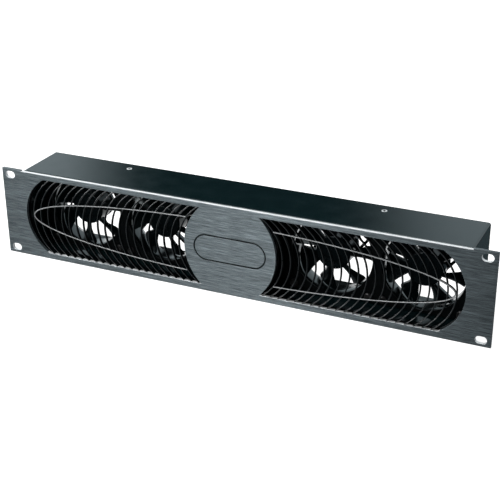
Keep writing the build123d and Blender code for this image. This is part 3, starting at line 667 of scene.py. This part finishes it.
def bar_rings(side, steps=90, tries=2000):
    a, b = BAR_HALF_L, BAR_HALF_H
    end = LAST_FIN_X - FIN_R
    turns = [math.pi / 2 * i / tries for i in range(tries)]
    start = max(t for t in turns if math.hypot(a * math.cos(t) - end, b * math.sin(t)) > FIN_R)
    rings = []
    for i in range(steps + 1):
        t = -start + 2 * start * i / steps
        point = Vector((a * math.cos(t), 0, b * math.sin(t)))
        out = Vector((b * math.cos(t), 0, a * math.sin(t))).normalized()
        rings.append(ring_at(point, out, BAR_SHAPE, side))
    return rings


print("fins from X", round(FIRST_FIN_X, 1), "to", round(LAST_FIN_X, 1))

# %% [markdown]
# Sweeping joins each ring of points to the next with a band of faces. The bar is found by trying
# out where its oval leaves the last fin. A fin is satin only on its front, down to a quarter of a
# millimetre, and that front is coloured lighter than the moulding as a painted highlight; behind
# that the moulding is matt, and so are the sides of the bar, whose front is coloured light grey as
# a painted highlight. Without this step the deep sides of the fins would catch the light, and the
# grille would look like steel.

# %% Build both grilles
# the satin front is also the painted highlight's band
FIN_LIT, BAR_LIT = 0.25, 0.0  # how deep the satin front reaches


def sweep(bm, rings, closed=False, finish=0):
    loops = [[bm.verts.new(point * MM) for point in ring] for ring in rings]
    faces = []
    for a, b in zip(loops, loops[1:] + loops[:1] if closed else loops[1:]):
        for i in range(len(a)):
            j = (i + 1) % len(a)
            faces.append(bm.faces.new((a[i], a[j], b[j], b[i])))
    if not closed:
        faces += [bm.faces.new(loops[0]), bm.faces.new(loops[-1][::-1])]
    for face in faces:
        face.material_index = finish
    return faces


def circle_outline(cx, cz, radius, steps=20):
    return arc(cx, cz, radius, 0, 360 - 360 / steps, steps - 1)


def join(target, extra):
    spare = bpy.data.meshes.new("spare")
    extra.to_mesh(spare)
    extra.free()
    target.from_mesh(spare)
    bpy.data.meshes.remove(spare)


def build_grille(side, name, node):
    near, far, high = side * FLANGE_IN, side * FLANGE_OUT, FLANGE_HALF
    flange = [(near, -high), (far, -high), (far, high), (near, high)]
    holes = [circle_outline(side * x, z, STUD_HOLE_R) for x, z in STUDS]
    inside = opening(side, COLLAR_IN)
    bm = plate([flange, inside] + holes, LIP_BACK, GRILLE_BACK, chamfer=0.1)
    join(bm, plate([opening(side, COLLAR_OUT), inside], PANEL_T, LIP_BACK, chamfer=0.05))
    fins, bar = [], sweep(bm, bar_rings(side), finish=2)
    for n in range(FIN_COUNT):
        fins += sweep(bm, fin_rings(FIRST_FIN_X - n * FIN_PITCH, side), finish=1)
    # faces behind the front lose the painted highlight and keep the matt black
    for faces, lit_depth in ((fins, FIN_LIT), (bar, BAR_LIT)):
        for face in faces:
            if face.calc_center_median().y > lit_depth * MM:
                face.material_index = 0
    finishes = [GRILLE_BLACK, FIN_FRONT_PAINTED_HIGHLIGHT, BAR_FRONT_PAINTED_HIGHLIGHT]
    piece = store(name, bm, TRAY, finishes, (node,), sharp=50)
    print(name, "faces:", len(piece.data.polygons))


build_grille(1, "fin_grille_right", "grille_right")
build_grille(-1, "fin_grille_left", "grille_left")

# %% [markdown]
# ## The impellers
#
# A fan's blade is a thin curved sheet that twists from hub to tip. It is easiest to build as a
# grid: one direction runs along the blade's section, the other from hub to tip. Each section is
# bent by a little camber, the corners of the tip are rounded by pulling the ends of the outer
# sections in, and the grid is then given thickness on both sides. The tip is thinner than the
# root, and both edges of a blade are thinner than its middle, as a mould needs it.

# %% Sizes of the fans
FAN_XS = (-170.7, -85.9, 85.9, 170.7)
FAN_FRONT = 34.2
BLADES, HUB_R, TIP_R = 7, 16.5, 37.2
ROOT_R, WALL_R = 12.3, 38.0
ROOT_SLOPE, WALL_SLOPE = 0.22, 1.48  # how far a blade leans round the shaft for each mm back
BLADE_FRONT, ROOT_BACK, WALL_BACK = 1.6, 14.5, 19.2
CAMBER, CORNER_FROM_R, CORNER_PULL = 4.1, 33.0, 0.08
ROOT_HALF_T, TIP_THINNER, EDGE_SHARE = 0.75, 0.2, 0.35
ROOT_SUNK = 0.8  # how deep a blade starts inside the hub
IMPELLER_ANGLES = (43.4, 20.8, 48.5, 10.9)


def blade_point(r, s, fan_x, angle):
    share = (r - ROOT_R) / (WALL_R - ROOT_R)
    slope = ROOT_SLOPE + (WALL_SLOPE - ROOT_SLOPE) * share
    length = ROOT_BACK + (WALL_BACK - ROOT_BACK) * share - BLADE_FRONT
    corner = max(0.0, (r - CORNER_FROM_R) / (TIP_R - CORNER_FROM_R))
    s = 0.5 + (s - 0.5) * (1.0 - CORNER_PULL * corner ** 3)
    sideways = (s - 0.5) * length * slope + CAMBER * 4 * s * (1 - s)
    turn = math.radians(angle) + sideways / r
    depth = FAN_FRONT + BLADE_FRONT + length * s
    return Vector((fan_x + r * math.cos(turn), depth, -r * math.sin(turn)))


def blade_sides(bm, grid, along, out):
    sides = []
    for sign in (-1, 1):
        rows = []
        for j in range(out + 1):
            row = []
            for i in range(along + 1):
                du = grid[j][min(i + 1, along)] - grid[j][max(i - 1, 0)]
                dv = grid[min(j + 1, out)][i] - grid[max(j - 1, 0)][i]
                normal = du.cross(dv).normalized()
                edge = min(1.0, EDGE_SHARE + 4 * min(i, along - i) / along)
                thick = (ROOT_HALF_T - TIP_THINNER * j / out) * edge
                row.append(bm.verts.new((grid[j][i] + normal * sign * thick) * MM))
            rows.append(row)
        sides.append(rows)
    return sides


def add_blade(bm, fan_x, angle, along=12, out=9):
    first = HUB_R - ROOT_SUNK
    radii = [first + (TIP_R - first) * j / out for j in range(out + 1)]
    grid = [[blade_point(r, i / along, fan_x, angle) for i in range(along + 1)] for r in radii]
    low, high = blade_sides(bm, grid, along, out)
    for rows in (low, high):
        for j in range(out):
            for i in range(along):
                bm.faces.new((rows[j][i], rows[j][i + 1], rows[j + 1][i + 1], rows[j + 1][i]))
    rim = [(0, i) for i in range(along)] + [(j, along) for j in range(out)]
    rim += [(out, i) for i in range(along, 0, -1)] + [(j, 0) for j in range(out, 0, -1)]
    for (j0, i0), (j1, i1) in zip(rim, rim[1:] + rim[:1]):
        bm.faces.new((low[j0][i0], low[j1][i1], high[j1][i1], high[j0][i0]))


print("fans at X", FAN_XS, "- blades on each:", BLADES)

# %% [markdown]
# The hub is a cup, and everything round is easiest to turn, as on a lathe: its section is a list
# of points, each with a radius and a depth, and the list is swept once round the shaft. The
# fans stopped at different angles, which were read from the gaps between the blades.

# %% Build the impellers
HUB_FRONT = [(0.01, 1.5), (9.6, 1.5), (10.0, 1.9), (11.8, 1.9), (12.2, 1.5)]
HUB_ROUNDING = arc(HUB_R - 1.6, 3.1, 1.6, -90, 0, 5)
HUB_INSIDE = [(HUB_R, 19.5), (15.1, 19.5), (15.1, 2.9), (0.01, 2.9)]
SHAFT_BOSS = [(1.53, 2.9), (4.0, 2.9), (4.0, 5.0), (1.53, 5.0)]


def lathe(bm, profile, centre, steps=64):
    rings = []
    for n in range(steps):
        a = 2 * math.pi * n / steps
        out = Vector((math.cos(a), 0, math.sin(a)))
        rings.append([Vector(centre) + out * r + Vector((0, y, 0)) for r, y in profile])
    sweep(bm, rings, closed=True)


def build_impeller(number, fan_x, angle):
    bm = bmesh.new()
    lathe(bm, HUB_FRONT + HUB_ROUNDING + HUB_INSIDE, (fan_x, FAN_FRONT, 0))
    lathe(bm, SHAFT_BOSS, (fan_x, FAN_FRONT, 0), 24)
    for n in range(BLADES):
        add_blade(bm, fan_x, angle + n * 360 / BLADES)
    return store(f"blade_wheel_{number}", bm, f"fan_rotor_{number}", BLADE_BLACK_PAINTED_SHADE,
                 (f"impeller_{number}",), sharp=50)


for number, (fan_x, angle) in enumerate(zip(FAN_XS, IMPELLER_ANGLES), start=1):
    wheel = build_impeller(number, fan_x, angle)
print("faces per impeller:", len(wheel.data.polygons))

# %% [markdown]
# ## The screws of the deck
#
# Two countersunk screws sit flush in the deck. From a distance such a screw is a light ring with a
# dark middle: the ring is the flat of its head and the dark middle is the shade in the cross
# recess. The screw is turned round its axis first, the recess is carved out, and its walls are
# coloured dark as painted shade.

# %% Build the deck screws
DECK_SCREWS = ((-128.3, 48.2), (128.3, 48.2))
SCREW_PROFILE = [(0.01, 0.0), (2.5, 0.0), (2.58, 0.08), (1.5, 1.1), (1.5, 6.0), (0.01, 6.0)]
RECESS_L, RECESS_W, RECESS_DEPTH, SLACK = 3.2, 1.2, 1.0, 0.05


def in_recess(face):
    x, y, z = (c / MM for c in face.center)
    away = min(math.hypot(x - sx, y - sy) for sx, sy in DECK_SCREWS)
    return away < RECESS_L / 2 + SLACK and TOP_Z - RECESS_DEPTH - SLACK < z < TOP_Z - SLACK


def build_deck_screws():
    screws, cutter = bmesh.new(), bmesh.new()
    lathe(screws, SCREW_PROFILE, (0, 0, 0), 40)
    screws.transform(Matrix.Rotation(-math.pi / 2, 4, "X"))
    join(screws, screws.copy())
    half = len(screws.verts) // 2
    for index, (x, y) in enumerate(DECK_SCREWS):
        place = Matrix.Translation(Vector((x, y, TOP_Z)) * MM)
        one_screw = screws.verts[index * half:(index + 1) * half]
        bmesh.ops.transform(screws, matrix=place, verts=one_screw)
        for length, width in ((RECESS_L, RECESS_W), (RECESS_W, RECESS_L)):
            shape = Matrix.Diagonal((length * MM, width * MM, 2 * RECESS_DEPTH * MM, 1))
            bmesh.ops.create_cube(cutter, size=1.0, matrix=place @ shape)
    piece = store("deck_screw_pair", screws, TRAY, [SCREW_ZINC, ENGRAVED_AND_PAINTED_SHADE],
                  ("deck_screws",), sharp=30)
    carve(piece, cutter, crossing=True)
    # the recess walls get the dark finish: painted shade
    for face in piece.data.polygons:
        face.material_index = int(in_recess(face))
    return piece


screws = build_deck_screws()
print("deck screw faces:", len(screws.data.polygons))

# %% [markdown]
# ## Finishes for the nodes that stay as they are
#
# Studs, nuts, screws and the motor pieces inside the hubs already have the right shape, so they
# keep their exact meshes and only get a finish.

# %% Finish the remaining nodes
KEPT = {
    "panel_studs": ZINC, "panel_nuts": ZINC, "inlet_screws": ZINC,
    "cover_screws": DARK_SCREW, "fan_screws": DARK_SCREW,
    "stator": WOUND_CORE, "bearings": BRONZE, "circuit_board": BOARD,
    "rotor_cup": BARE_STEEL, "magnet_ring": MAGNET,
    "shaft": GROUND_STEEL, "retaining_ring": GROUND_STEEL,
}

dressed = 0
for node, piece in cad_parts.items():
    finish = KEPT.get(node) or KEPT.get(node.rsplit("_", 1)[0])
    if finish:
        piece.data.materials.clear()
        piece.data.materials.append(finish)
        dressed += 1
print("nodes with a new finish:", dressed)

# %% [markdown]
# ## Studio
#
# The tray stands on a pale floor against white. Light Path lets the camera see plain white there,
# while the floor still takes the tray's shadow. A black tray has hardly any colour of its own:
# what you see on it is the studio, so the studio that is mirrored is built with care. It has two
# white screens behind the tray with a dark gap between them, the left one brighter, and a faint
# room in front. The gap is what makes the middle of the satin lid look nearly black while its
# two ends turn grey. The floor is dim and bluish in reflections, as a pale floor in shade is. A
# white card on it behind the tray shines in reflections only, and draws the light edges that you
# see on the fans' ducts and blades.

# %% Floor and world
FLOOR_HALF, FLOOR_DROP, CARD_DROP = 3.0, 0.0004, 0.0002  # metres
FLOOR_LIT, FLOOR_MIRRORED = (0.4, 0.4, 0.4, 1), (0.06, 0.085, 0.095, 1)
FLOOR_SEEN = 0.93  # what the camera sees of it; the lamps add the rest, except in shadow
CARD_LOW, CARD_HIGH = (-0.75, 0.075), (0.2, 1.5)
MIRRORED_SKY = (0.84, 0.95, 1.0, 1)
SOFT_LIGHT, DARK_GAP, FAINT_ROOM = 0.35, 0.015, 0.12
GAP_BEARING, GAP_HALF, SCREEN_FROM = (math.radians(a) for a in (-24.75, 5.25, 13.0))
LEFT_BEARING, RIGHT_BEARING = math.radians(-36), math.radians(-12)
LEFT_SCREEN, RIGHT_SCREEN = 1.8, 0.87
FADE_FROM, FADE_TO = 0.1, 0.5  # how far a direction leans back, or ahead, as the light fades in


def build_floor(name, low, high, drop, shine):
    z = cad_low.z - drop
    corners = ((low[0], low[1], z), (high[0], low[1], z), (high[0], high[1], z), (low[0], high[1], z))
    mesh = bpy.data.meshes.new(name)
    mesh.from_pydata(corners, [], [(0, 1, 2, 3)])
    floor = bpy.data.objects.new(name, mesh)
    SCENE.collection.objects.link(floor)
    finish, tree, shader = new_finish(name + "_white")
    shader.inputs["Roughness"].default_value = 0.9
    shader.inputs["Specular IOR Level"].default_value = 0.1
    shader.inputs["Emission Color"].default_value = WHITE
    rays = add(tree, "ShaderNodeLightPath", (-500, -200)).outputs
    pale = blend_colours(tree, rays["Is Glossy Ray"], FLOOR_LIT, FLOOR_MIRRORED, (-300, 100))
    tree.links.new(pale, shader.inputs["Base Color"])
    seen = maths(tree, "MAXIMUM", rays["Is Camera Ray"], rays["Is Transmission Ray"], (-300, -200))
    shown = maths(tree, "MULTIPLY", seen, FLOOR_SEEN, (-150, -200))
    in_gloss = maths(tree, "MULTIPLY", rays["Is Glossy Ray"], shine, (-150, -350))
    glow = maths(tree, "ADD", shown, in_gloss, (0, -200))
    tree.links.new(glow, shader.inputs["Emission Strength"])
    mesh.materials.append(finish)


def build_world():
    world = bpy.data.worlds.new("white_studio")
    SCENE.world = world
    world.use_nodes = True
    tree = world.node_tree
    sky = tree.nodes["Background"]
    rays = add(tree, "ShaderNodeLightPath", (-900, 300)).outputs
    glossy = rays["Is Glossy Ray"]
    cool = blend_colours(tree, glossy, WHITE, MIRRORED_SKY, (220, 300))
    tree.links.new(cool, sky.inputs["Color"])
    where = add(tree, "ShaderNodeTexCoord", (-1300, -100))
    split = add(tree, "ShaderNodeSeparateXYZ", (-1100, -100))
    tree.links.new(where.outputs["Generated"], split.inputs[0])
    backward = split.outputs["Y"]
    bearing = maths(tree, "ARCTAN2", split.outputs["X"], backward, (-900, -100))
    off_gap = maths(tree, "ADD", bearing, -GAP_BEARING, (-750, -100))
    other_way = maths(tree, "MULTIPLY", off_gap, -1.0, (-600, -250))
    aside = maths(tree, "MAXIMUM", off_gap, other_way, (-600, -100))
    screens = ramp(tree, aside, 0.0, 1.0, (-450, -100), GAP_HALF, SCREEN_FROM, "SMOOTHSTEP")
    behind = ramp(tree, backward, 0.0, 1.0, (-450, -350), FADE_FROM, FADE_TO, "SMOOTHSTEP")
    power = ramp(tree, bearing, LEFT_SCREEN, RIGHT_SCREEN, (-450, -600), LEFT_BEARING, RIGHT_BEARING)
    ahead = ramp(tree, backward, 0.0, FAINT_ROOM, (-450, -850), -FADE_FROM, -FADE_TO, "SMOOTHSTEP")
    backdrop = maths(tree, "MULTIPLY", screens, behind, (-250, -150))
    backdrop = maths(tree, "MULTIPLY", backdrop, power, (-180, -250))
    backdrop = ramp(tree, backdrop, DARK_GAP, 1.0, (-100, -150))
    mirrored = maths(tree, "MAXIMUM", backdrop, ahead, (-20, -250))
    mirrored = maths(tree, "MULTIPLY", mirrored, glossy, (60, -100))
    lit = maths(tree, "SUBTRACT", 1.0, glossy, (-100, 100))
    lit = maths(tree, "MULTIPLY", lit, SOFT_LIGHT, (60, 100))
    lit = maths(tree, "ADD", mirrored, lit, (220, 0))
    seen = maths(tree, "MAXIMUM", rays["Is Camera Ray"], rays["Is Transmission Ray"], (-700, 300))
    tree.links.new(maths(tree, "MAXIMUM", lit, seen, (380, 0)), sky.inputs["Strength"])


build_floor("studio_floor", (-FLOOR_HALF, -FLOOR_HALF), (FLOOR_HALF, FLOOR_HALF), FLOOR_DROP, 0.0)
build_floor("white_card", CARD_LOW, CARD_HIGH, CARD_DROP, 1.0)
build_world()
print("world:", SCENE.world.name)

# %% [markdown]
# The main light comes from the upper left, as in the photograph, with a soft overhead lamp that
# brightens what looks up. Two tall narrow lamps in front each draw a band of light down the brushed
# panel. A lamp far left rims that end and draws the fins' light lines, and a weak one from the
# right keeps the far end readable.


# %% Lamps
def softbox(name, place, target, size, watts):
    lamp = bpy.data.lights.new(name, "AREA")
    lamp.shape = "RECTANGLE"
    lamp.size, lamp.size_y = size
    lamp.energy = watts
    holder = bpy.data.objects.new(name, lamp)
    holder.location = place
    holder.rotation_euler = (Vector(target) - Vector(place)).to_track_quat("-Z", "Y").to_euler()
    SCENE.collection.objects.link(holder)


softbox("key_upper_left", (-0.75, -0.85, 1.45), (-0.05, 0, 0), (0.7, 0.5), 19)
softbox("overhead", (-0.3, 0.35, 1.4), (-0.1, 0, 0), (0.8, 0.6), 8)
softbox("front_left", (-0.62, -1.83, 0.3), (0, 0, 0), (0.2, 1.2), 10)
softbox("front_far_left", (-1.29, -1.83, 0.3), (0, 0, 0), (0.3, 1.2), 7)
softbox("rim_left", (-1.44, -0.22, 0.32), (0, 0, 0), (0.5, 0.5), 10)
softbox("fill_right", (1.4, -0.9, 0.7), (0, 0, 0), (0.5, 0.5), 0.9)
print("lamps:", len(bpy.data.lights))

# %% [markdown]
# ## Camera
#
# The photograph was taken from 25 degrees to the right and 25 degrees above, through a lens of
# about 83 mm. The camera's place was worked out from the panel's corners and slots.

# %% Camera
AZIMUTH, ELEVATION, ROLL = (math.radians(a) for a in (24.64, 25.01, -0.39))
SIDESTEP, RISE, DISTANCE = -18.7, -1.5, 1039.4
FOCAL, PHOTO_SIDE, SENSOR = 1155.8, 500, 36.0  # pixels, pixels and millimetres


def build_camera():
    back = Vector((math.sin(AZIMUTH) * math.cos(ELEVATION),
                   -math.cos(AZIMUTH) * math.cos(ELEVATION),
                   math.sin(ELEVATION)))
    right = (-back).cross(Vector((0, 0, 1))).normalized()
    up = right.cross(-back)
    across = right * math.cos(ROLL) + up * math.sin(ROLL)
    upright = -right * math.sin(ROLL) + up * math.cos(ROLL)
    place = (back * DISTANCE - across * SIDESTEP - upright * RISE) * MM
    data = bpy.data.cameras.new("photo_camera")
    data.sensor_width = SENSOR
    data.lens = FOCAL / PHOTO_SIDE * SENSOR
    holder = bpy.data.objects.new("photo_camera", data)
    turn = Matrix((across, upright, back)).transposed().to_4x4()
    holder.matrix_world = Matrix.Translation(place) @ turn
    SCENE.collection.objects.link(holder)
    SCENE.camera = holder
    return holder


camera = build_camera()
SCENE.view_settings.view_transform = "Standard"
print("camera at", [round(c / MM, 1) for c in camera.matrix_world.translation], "mm")
